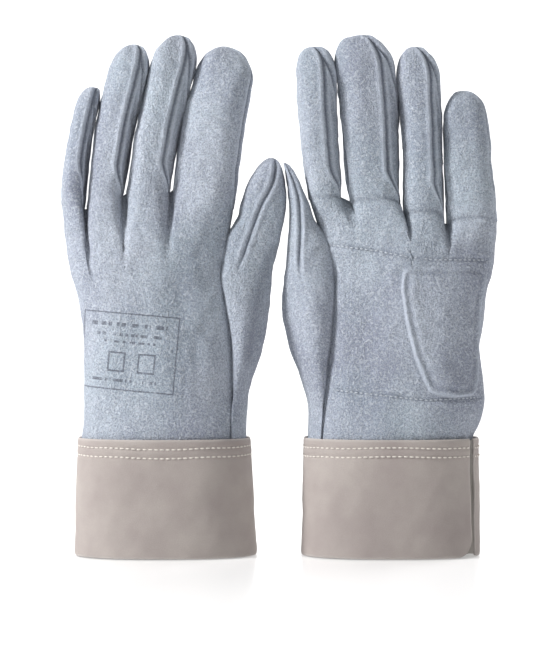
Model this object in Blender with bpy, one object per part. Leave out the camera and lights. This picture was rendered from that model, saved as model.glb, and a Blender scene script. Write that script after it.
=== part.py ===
"""A pair of leather welding gloves, standing side by side on their cuffs.

Each glove is sewn from flat panels: a back and a palm panel closed by a side
panel, two halves of the thumb base, and for every finger a back, a palm side
and the narrow forks between fingers.  A stiff two-ply cuff holds the wrist.

All sizes are in millimetres and are turned to metres where a node is made.
Each glove is described in its own coordinates: u runs across the hand towards
the thumb, v towards the back of the hand and z up.  A digit also has p across
it and q along it, which are u and z turned by the digit's lean.
"""
import bpy
import numpy as np

MM = 0.001

LEATHER = 1.6            # wall of split leather
CUFF_PLY = 1.3           # rubberised canvas
LINING = 0.9             # cotton and inner canvas
GAP = 0.3                # clearance between touching pieces
CUFF_TOP = 62.0
TUCK = 12.0              # leather held between the cuff's two plies
TUCK_ROOM = 3.0          # slack around the leather there
LAYER_ROOM = 1.4         # slack between a panel and what is laid on it
LEAN_PIVOT = 190.0       # height about which digits are turned
THUMB_ROOT = -28.0       # q of the thumb's joint plane
ROUNDNESS = 2.3          # exponent of the hand's and cuff's oval
DIGIT_ROUNDNESS = 2.4
DOME = 0.80              # share of a finger below its rounded tip
THUMB_DOME = 0.54
DIGIT_TAPER = 0.12       # share of a digit's depth lost by its tip
FORK_START, FORK_END = 40.0, 6.0        # half width of a fork in degrees, at root and tip
FORK_LENGTH, FORK_TAPER = 0.92, 2.5
HINGE_DROP = 0.6         # a finger's hinge stands this far off the palm's skin
SIDE_BOTTOM = 157.0      # foot of the panel beside the index finger
BALL_START, BALL_RISE = 63.0, 45.0      # height over which the thumb's base swells
CUFF_DEPTH, CUFF_FLARE = 30.0, 2.2
SLIT = 3.0               # opening of the cuff on the little finger's side
SLIT_RADIUS = 26.0       # of the cuff where the slit is
SLIT_TURN = 25.0         # degrees the slit stands towards the palm
STITCH_ROWS = {"upper": 57.6, "lower": 53.0}
THREAD = 0.35            # radius of a cuff thread
PAD_BOTTOM, PAD_TOP = 83.0, 153.5
PAD_THICKNESS = 3.2
PAD_RIM = 0.8

COLOURS = {"leather": (0.42, 0.48, 0.55, 1.0), "canvas": (0.45, 0.41, 0.38, 1.0),
           "cotton": (0.72, 0.70, 0.66, 1.0), "foam": (0.40, 0.46, 0.53, 1.0),
           "thread": (0.78, 0.76, 0.72, 1.0)}


def curve(*points):
    """Smooth function through (position, value) points, flat beyond its ends."""
    x, y = np.array(points, float).T
    slope = np.gradient(y, x)

    def value(at):
        at = np.clip(at, x[0], x[-1])
        i = np.clip(np.searchsorted(x, at) - 1, 0, len(x) - 2)
        h = x[i + 1] - x[i]
        t = (at - x[i]) / h
        rise = y[i + 1] - y[i]
        start, end = slope[i] * h, slope[i + 1] * h
        return (y[i] + start * t + (3 * rise - 2 * start - end) * t ** 2
                + (start + end - 2 * rise) * t ** 3)
    return value


def oval(k, n=ROUNDNESS):
    """Half depth of a unit superellipse at k, from -1 to 1 across it."""
    return np.maximum(1 - np.abs(k) ** n, 0) ** (1 / n)


def around(angle, n):
    """Point of a unit superellipse at an angle in degrees from +u."""
    c, s = np.cos(np.radians(angle)), np.sin(np.radians(angle))
    return np.sign(c) * np.abs(c) ** (2 / n), np.sign(s) * np.abs(s) ** (2 / n)


def turn(p, q, lean):
    """Finger coordinates p, q as u, z."""
    c, s = np.cos(np.radians(lean)), np.sin(np.radians(lean))
    return p * c + q * s, LEAN_PIVOT - p * s + q * c


class Digit:
    """Sizes of a finger or thumb; each edge has its root, middle and tip p."""

    def __init__(self, low, high, root, tip, apex, forks, depth, lean, dome=DOME, bow=4.0):
        self.low, self.high = curve(*zip((0, 0.5, 1), low)), curve(*zip((0, 0.5, 1), high))
        self.root, self.tip, self.apex, self.forks = root, tip, apex, forks
        self.depth, self.lean, self.dome, self.bow = depth, lean, dome, bow
        self.base = (low[0], high[0])

    def fade(self, t):
        return np.sqrt(np.clip(1 - (max(t - self.dome, 0) / (1 - self.dome)) ** 2, 0.008, 1))

    def point(self, t, angle, inset):
        """u, v, z on the digit's wall, t along it and angle around it."""
        fade = self.fade(t)
        middle = (self.low(t) + self.high(t)) / 2
        middle = self.apex + (middle - self.apex) * (fade if t > self.dome else 1)
        half = (self.high(t) - self.low(t)) / 2 - inset
        thick = self.depth * (1 - DIGIT_TAPER * t) - inset
        cu, cv = around(angle, DIGIT_ROUNDNESS)
        q = self.root + (self.tip - inset - self.root) * t
        u, z = turn(middle + half * fade * cu, q, self.lean)
        return u, thick * fade * cv - self.bow * t ** 2, z

    def half_gap(self, t):
        """Half a seam's gap, in degrees around the section."""
        half = (self.high(t) - self.low(t)) / 2 * self.fade(t)
        return np.degrees(0.5 * GAP / max(min(half, self.depth), 0.8)) + 1.0

    def hinge(self):
        """u, v, z of the digit's hinge: on the palm's skin, in the root plane."""
        u, z = turn(sum(self.base) / 2, self.root, self.lean)
        return u, -self.depth - HINGE_DROP, z


class Glove:
    """One glove's outline: x of its wrist, and +1 if its back faces -Y."""

    def __init__(self, name, centre, facing, little, index, seam, ball, cuff, pad, digits, corner):
        self.name, self.centre, self.facing = name, centre, facing
        self.little, self.index, self.seam, self.ball = (curve(*c) for c in (little, index, seam, ball))
        self.cuff_low, self.cuff_high = (curve(*c) for c in cuff)
        self.pad_edge = curve(*pad)
        self.digits, self.corner = digits, corner
        self.depth = curve((50, 27.6), (62, 27.6), (75, 27.5), (100, 25.5), (125, 23), (150, 20),
                           (175, 16.5), (195, 14.5))
        self.ball_depth = curve((50, 4), (90, 5), (120, 7), (150, 9))

    def world(self, u, v, z):
        return (MM * (self.centre + self.facing * u), MM * -self.facing * v, MM * z)

    def across(self, u, z):
        """k of a point across the hand's oval, from its u."""
        low, high = self.little(z), self.index(z)
        return (2 * u - low - high) / (high - low)

    def hand(self, k, z, side, inset):
        low, high = self.little(z), self.index(z)
        half, thick = (high - low) / 2 - inset, self.depth(z) - inset
        return (low + high) / 2 + half * k, side * max(thick * oval(k), GAP / 2), z

    def cut(self, z):
        """k of the seam where the hand meets the thumb's panels."""
        return self.across(self.seam(z), z)

    def thumb_base(self, share, z, side, inset):
        """Bulge of the thumb's root, share 0 at the seam and 1 at its far edge."""
        k = self.cut(z) + share * (1 - self.cut(z))
        low_u, low_v, _ = self.hand(k, z, side, inset)
        start = self.seam(z)
        u = start + share * (self.ball(z) - inset - start)
        root = self.depth(z) * oval(self.cut(z))
        v = (root * (1 - share ** 2.2) + self.ball_depth(z) * np.sin(np.pi * share) ** 0.8) * (1 - inset / 20)
        blend = np.clip((z - BALL_START) / BALL_RISE, 0, 1)
        blend = blend * blend * (3 - 2 * blend)
        return (low_u + (u - low_u) * blend, side * max(abs(low_v) + (v - abs(low_v)) * blend, GAP / 2), z)

    def cuff(self, angle, z, inset):
        low, high = self.cuff_low(z), self.cuff_high(z)
        cu, cv = around(angle, ROUNDNESS)
        thick = CUFF_DEPTH + CUFF_FLARE * (1 - z / CUFF_TOP) - inset
        return (low + high) / 2 + ((high - low) / 2 - inset) * cu, thick * cv, z


def closed(outer, inner):
    """Vertices and faces of a wall between two grids of points."""
    outer, inner = np.array(outer), np.array(inner)
    rows, columns = outer.shape[:2]
    vertices = np.concatenate([outer.reshape(-1, 3), inner.reshape(-1, 3)])

    def at(r, c, layer=0):
        return layer * rows * columns + r * columns + c
    faces = []
    for r in range(rows - 1):
        for c in range(columns - 1):
            faces.append((at(r, c), at(r, c + 1), at(r + 1, c + 1), at(r + 1, c)))
            faces.append((at(r, c, 1), at(r + 1, c, 1), at(r + 1, c + 1, 1), at(r, c + 1, 1)))
    rim = [(0, c) for c in range(columns)] + [(r, columns - 1) for r in range(1, rows)]
    rim += [(rows - 1, c) for c in range(columns - 2, -1, -1)] + [(r, 0) for r in range(rows - 2, 0, -1)]
    for (r0, c0), (r1, c1) in zip(rim, rim[1:] + rim[:1]):
        faces.append((at(r1, c1), at(r0, c0), at(r0, c0, 1), at(r1, c1, 1)))
    return vertices, faces


def signed_volume(vertices, faces):
    total = 0.0
    for face in faces:
        a = vertices[face[0]]
        for i in range(1, len(face) - 1):
            total += np.dot(a, np.cross(vertices[face[i]], vertices[face[i + 1]]))
    return total


def material(name, kind):
    made = bpy.data.materials.new(name + "_finish")
    made.use_nodes = True
    shader = made.node_tree.nodes["Principled BSDF"]
    shader.inputs["Base Color"].default_value = COLOURS[kind]
    shader.inputs["Roughness"].default_value = 0.6 if kind == "canvas" else 0.9
    shader.inputs["Metallic"].default_value = 0.0
    return made


def node(name, solid, kind, pivot=None):
    """Make the named object; its mesh is kept relative to its pivot."""
    vertices, faces = solid
    if signed_volume(vertices, faces) < 0:
        faces = [face[::-1] for face in faces]
    origin = np.array(pivot.matrix_world.translation) if pivot else np.zeros(3)
    mesh = bpy.data.meshes.new(name)
    mesh.from_pydata((vertices - origin).tolist(), [], faces)
    mesh.validate()
    mesh.materials.append(material(name, kind))
    made = bpy.data.objects.new(name, mesh)
    bpy.context.collection.objects.link(made)
    if pivot:
        made.parent = pivot
    mesh.shade_smooth()
    return made


def pivot_at(name, place):
    """An empty on a joint's axis."""
    made = bpy.data.objects.new(name, None)
    made.location = place
    bpy.context.collection.objects.link(made)
    bpy.context.view_layer.update()
    return made


def wall(glove, rows, point, thick, first=0.0):
    """Closed wall over rows of parameters; point(parameters, inset) gives u, v, z."""
    outer = [[glove.world(*point(item, first)) for item in row] for row in rows]
    inner = [[glove.world(*point(item, first + thick)) for item in row] for row in rows]
    return closed(outer, inner)


def knuckle_line(glove):
    """(u, z) along the hand's top: a step under each finger's root plane."""
    line = []
    for name in ("little", "ring", "middle", "index"):
        digit = glove.digits[name]
        low, high = digit.base
        shares = (0, 0.12, 0.4, 1) if name == "little" else (0, 0.5, 1)
        for share in shares:
            p = low - 0.45 + share * (high - low + 0.9)
            line.append(turn(p, digit.root - GAP, digit.lean))
    return line


def panel_rows(glove, count, bottom, lower_top=0.0, margin=0.0):
    """Rows of (k, z) from the little finger's edge to the thumb's seam."""
    columns = [(u, z) for u, z in knuckle_line(glove) if u < glove.seam(z) - 3]
    end = glove.digits["index"]
    u_end = glove.seam(188)
    columns.append((u_end, LEAN_PIVOT + (end.root - GAP - u_end * np.sin(np.radians(end.lean)))
                    / np.cos(np.radians(end.lean))))
    tops = [glove.across(u, z) for u, z in columns]
    tops[0], tops[-1] = -1.0, glove.cut(columns[-1][1])
    rows = []
    for t in np.linspace(0, 1, count):
        row = []
        for (_, z_top), k_top in zip(columns, tops):
            z = bottom + t * (z_top - lower_top - bottom)
            share = (k_top + 1) / (tops[-1] + 1)
            low, high = -1.0 + margin, glove.cut(z) - 0.005 - margin
            row.append((low + share * (high - low), z))
        rows.append(row)
    return rows


def make_hand(glove):
    name, bottom = glove.name, CUFF_TOP - TUCK
    rows = panel_rows(glove, 8, bottom)
    for side, label in ((1, "back_panel"), (-1, "palm_panel")):
        node(f"{name}_{label}", wall(glove, rows, lambda kz, d: glove.hand(*kz, side, d), LEATHER), "leather")
    inner = LEATHER + LAYER_ROOM
    rows = panel_rows(glove, 6, CUFF_TOP + 4, lower_top=3, margin=0.03)
    node(f"{name}_palm_lining", wall(glove, rows, lambda kz, d: glove.hand(*kz, -1, d), LINING, inner), "cotton")
    make_index_side(glove)
    make_thumb_base(glove)
    make_pad(glove)


def make_index_side(glove):
    """Panel that closes the hand beside the index finger, above the thumb."""
    index = glove.digits["index"]
    rows = []
    for t in np.linspace(0, 1, 4):
        row = []
        for side, share in ((1, 0), (1, 0.5), (1, 0.85), (1, 1), (-1, 0.85), (-1, 0.5), (-1, 0)):
            top = LEAN_PIVOT + (index.root - GAP - glove.index(186) * np.sin(np.radians(index.lean))) / np.cos(
                np.radians(index.lean))
            z = SIDE_BOTTOM + t * (top - SIDE_BOTTOM)
            start = glove.cut(z) + 0.006
            row.append((start + share * (1 - start), z, side))
        rows.append(row)

    def point(item, inset):
        k, z, side = item
        u, v, z = glove.hand(k, z, side, inset)
        return u, (0 if k >= 1 else v), z
    node(f"{glove.name}_index_side", wall(glove, rows, point, LEATHER), "leather")


def make_thumb_base(glove):
    thumb = glove.digits["thumb"]
    bottom = CUFF_TOP - TUCK
    c, s = np.cos(np.radians(thumb.lean)), np.sin(np.radians(thumb.lean))
    for side, label in ((1, "thumb_base_back"), (-1, "thumb_base_palm")):
        rows = []
        for t in np.linspace(0, 1, 8):
            row = []
            for share in (0.012, 0.2, 0.42, 0.65, 0.85, 0.96, 1.0):
                u_top = glove.seam(152) + share * (glove.ball(150) - glove.seam(152))
                top = LEAN_PIVOT + (thumb.root - GAP - u_top * s) / c
                row.append((share, bottom + t * (top - bottom)))
            rows.append(row)
        node(f"{glove.name}_{label}", wall(glove, rows, lambda it, d: glove.thumb_base(*it, side, d), LEATHER),
             "leather")


def make_pad(glove):
    """Foam pad over the heel of the hand, on the palm's skin."""
    rows = []
    for t in np.linspace(0, 1, 7):
        z = PAD_BOTTOM + t * (PAD_TOP - PAD_BOTTOM)
        low, high = glove.across(glove.little(z) + 2.0, z), glove.across(glove.pad_edge(z), z)
        rows.append([(low + share * (high - low), z, share, t) for share in (0, 0.12, 0.35, 0.6, 0.85, 1)])

    def skin(item, _):
        return glove.hand(item[0], item[1], -1, -LAYER_ROOM)

    def crown(item, _):
        k, z, share, t = item
        swell = (1 - (2 * share - 1) ** 6) * (1 - (2 * t - 1) ** 6)
        return glove.hand(k, z, -1, -LAYER_ROOM - PAD_RIM - (PAD_THICKNESS - PAD_RIM) * swell)
    outer = [[glove.world(*crown(item, 0)) for item in row] for row in rows]
    inner = [[glove.world(*skin(item, 0)) for item in row] for row in rows]
    node(f"{glove.name}_heel_pad", closed(outer, inner), "foam")


def cuff_rows(glove, bottom, top, inset):
    """Rows of (angle, z); the two ends stand either side of the slit, with rounded hems."""
    girth = np.degrees(SLIT / SLIT_RADIUS)
    angles = np.concatenate([[0, 2.5, 6, 12], np.linspace(22, 338 - girth, 33), [348 - girth, 354 - girth,
                                                                            357.5 - girth, 360 - girth]])
    angles = angles - 180 + girth + SLIT_TURN
    rows = []
    for t in (0.0, 0.12, 0.4, 0.7, 1.0):
        row = []
        for i, angle in enumerate(angles):
            near = min(i, len(angles) - 1 - i)
            reach = (0.0, 0.08, 0.22, 0.55, 1.0)[min(near, 4)]
            lift = glove.corner[0 if i < 5 else 1] * (1 - np.sqrt(1 - (1 - reach) ** 2))
            low = bottom + lift
            row.append((angle, low + t * (top - low)))
        rows.append(row)
    return rows


def make_cuff(glove):
    inner = CUFF_PLY + LEATHER + TUCK_ROOM
    rows = cuff_rows(glove, 0.0, CUFF_TOP, 0)
    node(f"{glove.name}_cuff", wall(glove, rows, lambda az, d: glove.cuff(*az, d), CUFF_PLY), "canvas")
    rows = cuff_rows(glove, 0.4, CUFF_TOP - 0.4, inner)
    node(f"{glove.name}_cuff_lining", wall(glove, rows, lambda az, d: glove.cuff(*az, d), LINING, inner), "canvas")
    for label, height in STITCH_ROWS.items():
        node(f"{glove.name}_cuff_thread_{label}", thread_ring(glove, height), "thread")


def thread_ring(glove, height):
    """A thread laid round the cuff, open at the slit, square in section."""
    angles = np.linspace(-168, 172, 31) + SLIT_TURN
    corners = ((0, -1), (1, 0), (0, 1), (-1, 0))
    vertices = []
    for angle in angles:
        for out, up in corners:
            vertices.append(glove.world(*glove.cuff(angle, height + up * THREAD, -GAP - THREAD * (1 + out))))
    faces = []
    for i in range(len(angles) - 1):
        for j in range(4):
            a, b = 4 * i + j, 4 * i + (j + 1) % 4
            faces.append((a, b, b + 4, a + 4))
    last = 4 * (len(angles) - 1)
    faces += [(3, 2, 1, 0), (last, last + 1, last + 2, last + 3)]
    return np.array(vertices), faces


def make_digit(glove, name, digit):
    pivot = pivot_at(f"{glove.name}_{name}_pivot", glove.world(*digit.hinge()))
    rises = (0, 0.18, 0.38, 0.58, 0.76, 0.86, 0.93, 0.975, 1.0)

    def fork(t, side):
        if side not in digit.forks or t > 0.9:
            return 0.0
        return FORK_START * (1 - (t / FORK_LENGTH) ** FORK_TAPER) + FORK_END

    for sign, label in ((1, "back"), (-1, "palm")):
        rows = []
        for t in rises:
            low = fork(t, "thumb") + digit.half_gap(t)
            high = 180 - fork(t, "little") - digit.half_gap(t)
            rows.append([(t, sign * (low + s * (high - low))) for s in (0, 0.12, 0.34, 0.66, 0.88, 1)])
        solid = wall(glove, rows, lambda it, d: digit.point(*it, d), LEATHER)
        node(f"{glove.name}_{name}_{label}", solid, "leather", pivot)
    for side, middle in (("thumb", 0), ("little", 180)):
        if side not in digit.forks:
            continue
        rows = []
        for t in rises[:6]:
            reach = fork(t, side) - digit.half_gap(t)
            rows.append([(t, middle + s * reach) for s in (-1, 0, 1)])
        label = f"{glove.name}_{name}_fork" + ("" if len(digit.forks) == 1 else f"_{side}_side")
        node(label, wall(glove, rows, lambda it, d: digit.point(*it, d), LEATHER), "leather", pivot)


def gloves():
    lean_a, lean_b, thumb_a, thumb_b = 12.0, 3.5, 12.0, 14.0
    one = {
        "index": Digit((3.9, 2.0, 4.0), (37.0, 34.0, 31.9), 1.5, 86.0, 16.5, ("little",), 12.5, lean_a),
        "middle": Digit((-19.9, -21.9, -20.4), (2.6, 0.6, 2.6), -3.0, 86.8, -9.2, ("thumb", "little"), 12.5,
                        lean_a),
        "ring": Digit((-39.0, -43.0, -42.6), (-21.3, -23.3, -22.0), -13.5, 77.0, -31.3, ("thumb", "little"),
                      12.0, lean_a),
        "little": Digit((-52.8, -55.9, -55.6), (-40.4, -44.5, -45.0), -15.0, 50.0, -47.5, ("thumb",), 11.0,
                        lean_a),
        "thumb": Digit((41.0, 41.0, 42.0), (65.0, 65.0, 63.0), THUMB_ROOT, 32.6, 52.4, (), 13.0, thumb_a,
                       THUMB_DOME, 0.0)}
    two = {
        "index": Digit((26.6, 28.0, 26.2), (43.4, 45.2, 45.9), 1.0, 82.3, 37.0, ("little",), 12.5, lean_b),
        "middle": Digit((-4.9, -6.3, -5.2), (21.6, 21.3, 24.4), -4.0, 87.0, 11.1, ("thumb", "little"), 12.5,
                        lean_b),
        "ring": Digit((-27.8, -29.0, -30.4), (-6.2, -8.4, -7.2), -14.0, 79.0, -16.8, ("thumb", "little"), 12.0,
                      lean_b),
        "little": Digit((-55.8, -54.3, -52.5), (-29.1, -30.4, -31.8), -17.0, 54.0, -41.0, ("thumb",), 11.5,
                        lean_b),
        "thumb": Digit((42.4, 42.6, 44.4), (65.0, 55.4, 50.6), THUMB_ROOT, 31.6, 51.0, (), 12.5, thumb_b,
                       THUMB_DOME, 0.0)}
    left = Glove(
        "a", -61.35, 1,
        little=((50, -43.9), (62, -43.9), (67, -43.2), (97, -42.7), (122, -43.5), (139, -46.5), (148, -49.3),
                (176, -53.5), (195, -54)),
        index=((50, 43.9), (62, 43.9), (75, 43.4), (100, 41), (125, 37.5), (150, 33.2), (165, 34.6), (184, 36.3)),
        seam=((50, 35.6), (62, 35.8), (92, 36.4), (114, 35.6), (135, 32.6), (152, 30.2), (188, 32.5)),
        ball=((50, 43.9), (62, 43.9), (67, 45.6), (86, 48), (105, 51.4), (122, 54.8), (142, 58), (152, 59)),
        cuff=(((0, -48.1), (CUFF_TOP, -46.1)), ((0, 49.6), (CUFF_TOP, 46.3))),
        pad=((80, -21), (90, -16.8), (104, -10.7), (122, -6.3), (141, -3.7), (154, -5.5)),
        digits=one, corner=(4.0, 4.0))
    right = Glove(
        "b", 59.39, -1,
        little=((50, -43.9), (59, -43.9), (62.5, -44.1), (67, -46.4), (113, -48.2), (122, -49.5),
                (139, -51.6), (148, -53.6), (162, -55.7), (176, -56.6), (190, -56)),
        index=((50, 44.1), (62, 44.1), (75, 43.2), (100, 40), (125, 35.5), (140, 33.2), (152, 32.6), (165, 35.6),
               (177, 38.6), (188, 41.3)),
        seam=((50, 36.8), (62, 37.0), (77, 35.9), (104, 33), (121, 31.2), (138, 30.2), (152, 29.8), (188, 37.0)),
        ball=((50, 44.1), (62, 44.1), (70, 45.8), (87, 48.6), (98, 51), (112, 54.4), (127, 57.6), (141, 59.8),
              (152, 58.9)),
        cuff=(((0, -48.2), (CUFF_TOP, -47.3)), ((0, 47.6), (CUFF_TOP, 46.4))),
        pad=((80, -21), (90, -16.8), (104, -10.7), (122, -6.3), (141, -3.7), (154, -5.5)),
        digits=two, corner=(12.0, 3.0))
    return left, right


def main():
    for old in list(bpy.data.objects):
        bpy.data.objects.remove(old, do_unlink=True)
    for glove in gloves():
        make_hand(glove)
        make_cuff(glove)
        for name, digit in glove.digits.items():
            make_digit(glove, name, digit)


main()
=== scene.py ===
# %% [markdown]
# # A pair of leather welding gloves
# The gloves are cut from suede split leather and sewn: a back and a palm, four
# fingers with narrow strips called forks between them, a thumb set in at the
# side, and a stiff canvas cuff with two rows of stitching.  The CAD frame
# already holds every piece's place and every joint.  This lesson makes what is
# seen: skins with seams and folds, padded heels, stitches, and their finishes.

# %% Load the frame
from math import radians
import bpy
import numpy as np
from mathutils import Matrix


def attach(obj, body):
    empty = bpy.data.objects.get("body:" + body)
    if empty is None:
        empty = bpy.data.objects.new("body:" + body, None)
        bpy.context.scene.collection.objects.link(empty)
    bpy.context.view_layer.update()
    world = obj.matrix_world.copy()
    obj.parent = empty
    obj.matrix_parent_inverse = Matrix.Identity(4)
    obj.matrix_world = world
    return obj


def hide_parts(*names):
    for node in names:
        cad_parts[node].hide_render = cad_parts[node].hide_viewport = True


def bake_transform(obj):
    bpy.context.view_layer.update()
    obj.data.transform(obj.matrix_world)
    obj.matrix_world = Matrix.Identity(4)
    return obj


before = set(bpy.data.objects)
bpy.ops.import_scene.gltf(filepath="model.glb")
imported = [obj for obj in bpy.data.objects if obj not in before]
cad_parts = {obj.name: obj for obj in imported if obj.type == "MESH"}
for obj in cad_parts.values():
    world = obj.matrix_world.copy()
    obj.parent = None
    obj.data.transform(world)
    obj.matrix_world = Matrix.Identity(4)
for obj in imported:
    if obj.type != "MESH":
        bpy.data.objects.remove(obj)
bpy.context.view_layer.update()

MM = 0.001
print("frame loaded:", len(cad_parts), "nodes")

# %% [markdown]
# ## Curves and ovals
# A glove has no straight edges, so its outline is a handful of points joined by
# a smooth curve, and its cross-sections are superellipses: ovals whose
# roundness is one number.  Numpy works on whole grids at a time, which keeps
# dense skins quick.  A subdivision surface over a coarse cage would be the
# other way, but seams would then drift off their true places.

# %% Curves and ovals
ROUND_HAND = 2.3
ROUND_DIGIT = 2.4
PIVOT = 190.0            # height about which a digit's lean is turned
CUFF_TOP = 62.0
TUCK = 12.0
THUMB_ROOT = -28.0


def curve(*points):
    """Smooth function through (position, value) points, flat beyond its ends."""
    x, y = np.array(points, float).T
    slope = np.gradient(y, x)

    def value(at):
        at = np.clip(at, x[0], x[-1])
        i = np.clip(np.searchsorted(x, at) - 1, 0, len(x) - 2)
        h = x[i + 1] - x[i]
        t = (at - x[i]) / h
        rise = y[i + 1] - y[i]
        start, end = slope[i] * h, slope[i + 1] * h
        return (y[i] + start * t + (3 * rise - 2 * start - end) * t ** 2
                + (start + end - 2 * rise) * t ** 3)
    return value


def smooth(x, low, high):
    t = np.clip((x - low) / (high - low), 0, 1)
    return t * t * (3 - 2 * t)


def around(angle, n):
    """Point of a unit superellipse at an angle in degrees from the thumb's side."""
    c, s = np.cos(np.radians(angle)), np.sin(np.radians(angle))
    return np.sign(c) * np.abs(c) ** (2 / n), np.sign(s) * np.abs(s) ** (2 / n)


def turn(p, q, lean):
    """Digit coordinates, p across and q along, as u across the hand and z up."""
    c, s = np.cos(np.radians(lean)), np.sin(np.radians(lean))
    return p * c + q * s, PIVOT - p * s + q * c


def unturn(u, z, lean):
    c, s = np.cos(np.radians(lean)), np.sin(np.radians(lean))
    return u * c - (z - PIVOT) * s, u * s + (z - PIVOT) * c


def ripples(u, z, seed, size, count=14):
    """Gentle unevenness of soft leather, about -1 to 1, with waves near a size in mm."""
    rng = np.random.default_rng(seed)
    total = np.zeros(np.broadcast(u, z).shape)
    for _ in range(count):
        way, phase = rng.uniform(0, np.pi), rng.uniform(0, 2 * np.pi)
        wave = size * rng.uniform(0.6, 1.7)
        total += np.sin(2 * np.pi * (u * np.cos(way) + z * np.sin(way)) / wave + phase)
    return total / np.sqrt(count)


# %% [markdown]
# ## The two gloves' sizes
# A digit has an edge on each side, a root, a tip and a lean; a hand has its
# silhouettes and the seam where the thumb joins.  These are the CAD model's own
# sizes, kept in millimetres because glove makers think in millimetres.  Both
# gloves fit the left hand: one shows its back and one its palm.

# %% Digits
class Digit:
    """Edges at root, middle and tip, and where the leather's own seam at the root runs."""

    def __init__(self, low, high, root, tip, apex, forks, depth, lean, skin_root, dome=0.80, bow=4.0):
        self.low, self.high = curve(*zip((0, 0.5, 1), low)), curve(*zip((0, 0.5, 1), high))
        self.root, self.tip, self.apex, self.forks = root, tip, apex, forks
        self.depth, self.lean, self.dome, self.bow = depth, lean, dome, bow
        self.base = (low[0], high[0])
        self.start = (skin_root - root) / (tip - root)

    def point(self, t, angle, out=0.0):
        """u, v, z of the wall, t along and angle around; out lifts it off the wall."""
        fade = np.sqrt(np.clip(1 - (np.maximum(t - self.dome, 0) / (1 - self.dome)) ** 2, 0.0, 1))
        middle = (self.low(t) + self.high(t)) / 2
        middle = self.apex + (middle - self.apex) * np.where(t > self.dome, fade, 1)
        half = (self.high(t) - self.low(t)) / 2
        thick = self.depth * (1 - 0.12 * t)
        cu, cv = around(angle, ROUND_DIGIT)
        q = self.root + (self.tip - self.root) * t + out * (1 - fade)
        u, z = turn(middle + (half * fade + out) * cu, q, self.lean)
        return u, (thick * fade + out) * cv - self.bow * t ** 2, z


def finger_sets():
    lean_a, lean_b = 12.0, 3.5
    both, one_low, one_high = ("thumb", "little"), ("little",), ("thumb",)
    first = {
        "little": Digit((-52.8, -55.9, -55.6), (-40.4, -44.5, -45.0), -15.0, 50.0, -47.5, one_high, 11.0, lean_a,
                        -7.0),
        "ring": Digit((-39.0, -43.0, -42.6), (-21.3, -23.3, -22.0), -13.5, 77.0, -31.3, both, 12.0, lean_a, -4.0),
        "middle": Digit((-19.9, -21.9, -20.4), (2.6, 0.6, 2.6), -3.0, 86.8, -9.2, both, 12.5, lean_a, 3.0),
        "index": Digit((3.9, 2.0, 4.0), (37.0, 34.0, 31.9), 1.5, 86.0, 16.5, one_low, 12.5, lean_a, 5.0),
        "thumb": Digit((41.0, 41.0, 42.0), (65.0, 65.0, 63.0), THUMB_ROOT, 32.6, 52.4, (), 13.0, 12.0,
                       THUMB_ROOT, 0.54, 0.0)}
    second = {
        "little": Digit((-55.8, -54.3, -52.5), (-29.1, -30.4, -31.8), -17.0, 54.0, -41.0, one_high, 11.5, lean_b,
                        -14.0),
        "ring": Digit((-27.8, -29.0, -30.4), (-6.2, -8.4, -7.2), -14.0, 79.0, -16.8, both, 12.0, lean_b, -9.0),
        "middle": Digit((-4.9, -6.3, -5.2), (21.6, 21.3, 24.4), -4.0, 87.0, 11.1, both, 12.5, lean_b, -1.0),
        "index": Digit((26.6, 28.0, 26.2), (43.4, 45.2, 45.9), 1.0, 82.3, 37.0, one_low, 12.5, lean_b, 2.0),
        "thumb": Digit((42.4, 42.6, 44.4), (65.0, 55.4, 50.6), THUMB_ROOT, 31.6, 51.0, (), 12.5, 14.0,
                       THUMB_ROOT, 0.54, 0.0)}
    return first, second


FINGERS = ("little", "ring", "middle", "index")
print("digits measured for both gloves")


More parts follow.
